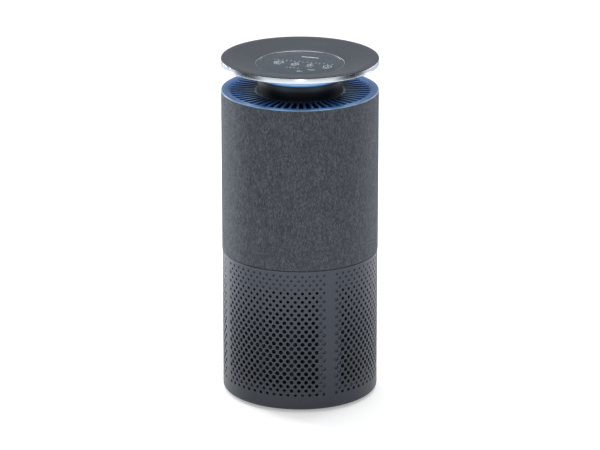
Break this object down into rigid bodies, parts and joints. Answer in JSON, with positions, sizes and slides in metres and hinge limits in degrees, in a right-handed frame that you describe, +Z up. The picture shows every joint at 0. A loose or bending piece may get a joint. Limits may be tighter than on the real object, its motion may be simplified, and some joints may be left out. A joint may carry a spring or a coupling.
{
  "type": "air purifier",
  "caption": "Cylindrical floor air purifier with saucer-shaped touch panel, ring outlet, fabric upper sleeve, perforated intake shell and twist-off base with a drum filter.",
  "frame": {"origin": "centre of the round base, on the floor", "axes": "+Z up along the column's axis; the front of the touch panel faces -Y"},
  "size_m": [0.24, 0.24, 0.531],
  "materials": {
    "dark_plastic": "matt moulded plastic",
    "rubber": "soft rubber",
    "white_plastic": "matt",
    "foam": "closed-cell foam",
    "filter_paper": "pleated filter paper",
    "carbon": "carbon cloth",
    "filter_net": "moulded net",
    "ribbon": "woven ribbon",
    "shell_plastic": "satin, perforated",
    "black_plastic": "satin",
    "switch_red": "matt",
    "steel": "plated",
    "impeller_grey": "satin",
    "magnet": "coated magnet ring",
    "copper": "enamelled windings",
    "motor_metal": "die cast",
    "fabric": "mottled weave",
    "circuit_board": "board lacquer",
    "sensor_blue": "matt",
    "grille_plastic": "satin, lit from above",
    "light_guide": "translucent, lit",
    "chrome_edge": "polished",
    "saucer_plastic": "satin",
    "panel_plastic": "smooth touch panel"
  },
  "bodies": {
    "base": {"base_cover": "dark_plastic", "rubber_feet": "rubber"},
    "filter": {"filter_bottom_cap": "white_plastic", "filter_top_cap": "white_plastic", "filter_gasket": "foam", "filter_media": "filter_paper", "carbon_layer": "carbon", "prefilter_mesh": "filter_net", "pull_tab": "ribbon"},
    "housing": {"intake_shell": "shell_plastic", "intake_frame": "dark_plastic", "power_inlet": "black_plastic", "switch_body": "switch_red", "fan_inlet_ring": "dark_plastic", "inlet_screws": "steel", "motor_stator": "copper", "motor_case": "motor_metal", "motor_bearings": "steel", "motor_dampers": "rubber", "motor_bracket": "dark_plastic", "upper_housing": "dark_plastic", "fabric_sleeve": "fabric", "core_drum": "black_plastic", "board_carrier": "black_plastic", "main_board": "circuit_board", "power_board": "circuit_board", "particle_sensor": "sensor_blue", "outlet_grille": "grille_plastic", "neck": "black_plastic", "neck_screws": "steel", "led_ring": "light_guide", "led_board": "circuit_board", "disc_underside": "black_plastic", "disc_screws": "steel", "trim_ring": "chrome_edge", "top_plate": "saucer_plastic", "control_panel": "panel_plastic", "touch_board": "circuit_board"},
    "switch_plunger": {"switch_plunger": "white_plastic"},
    "impeller": {"impeller": "impeller_grey", "impeller_nut": "steel", "motor_shaft": "steel", "motor_rotor": "magnet"}
  },
  "joints": [
    {"name": "lock_turn", "type": "hinge", "parent": "base", "child": "filter", "pos_m": [0, 0, 0], "axis": [0, 0, 1], "range_deg": [0, 20]},
    {"name": "body_lift", "type": "slide", "parent": "filter", "child": "housing", "axis": [0, 0, 1], "range_m": [0, 0.221]},
    {"name": "switch_press", "type": "slide", "parent": "housing", "child": "switch_plunger", "axis": [0, 0, 1], "range_m": [0, 0.0026]},
    {"name": "impeller_spin", "type": "hinge", "parent": "housing", "child": "impeller", "pos_m": [0, 0, 0.306], "axis": [0, 0, 1], "continuous": true}
  ],
  "couplings": [
    {"joint": "switch_press", "follows": "lock_turn", "m_per_rad": 0.00716}
  ]
}
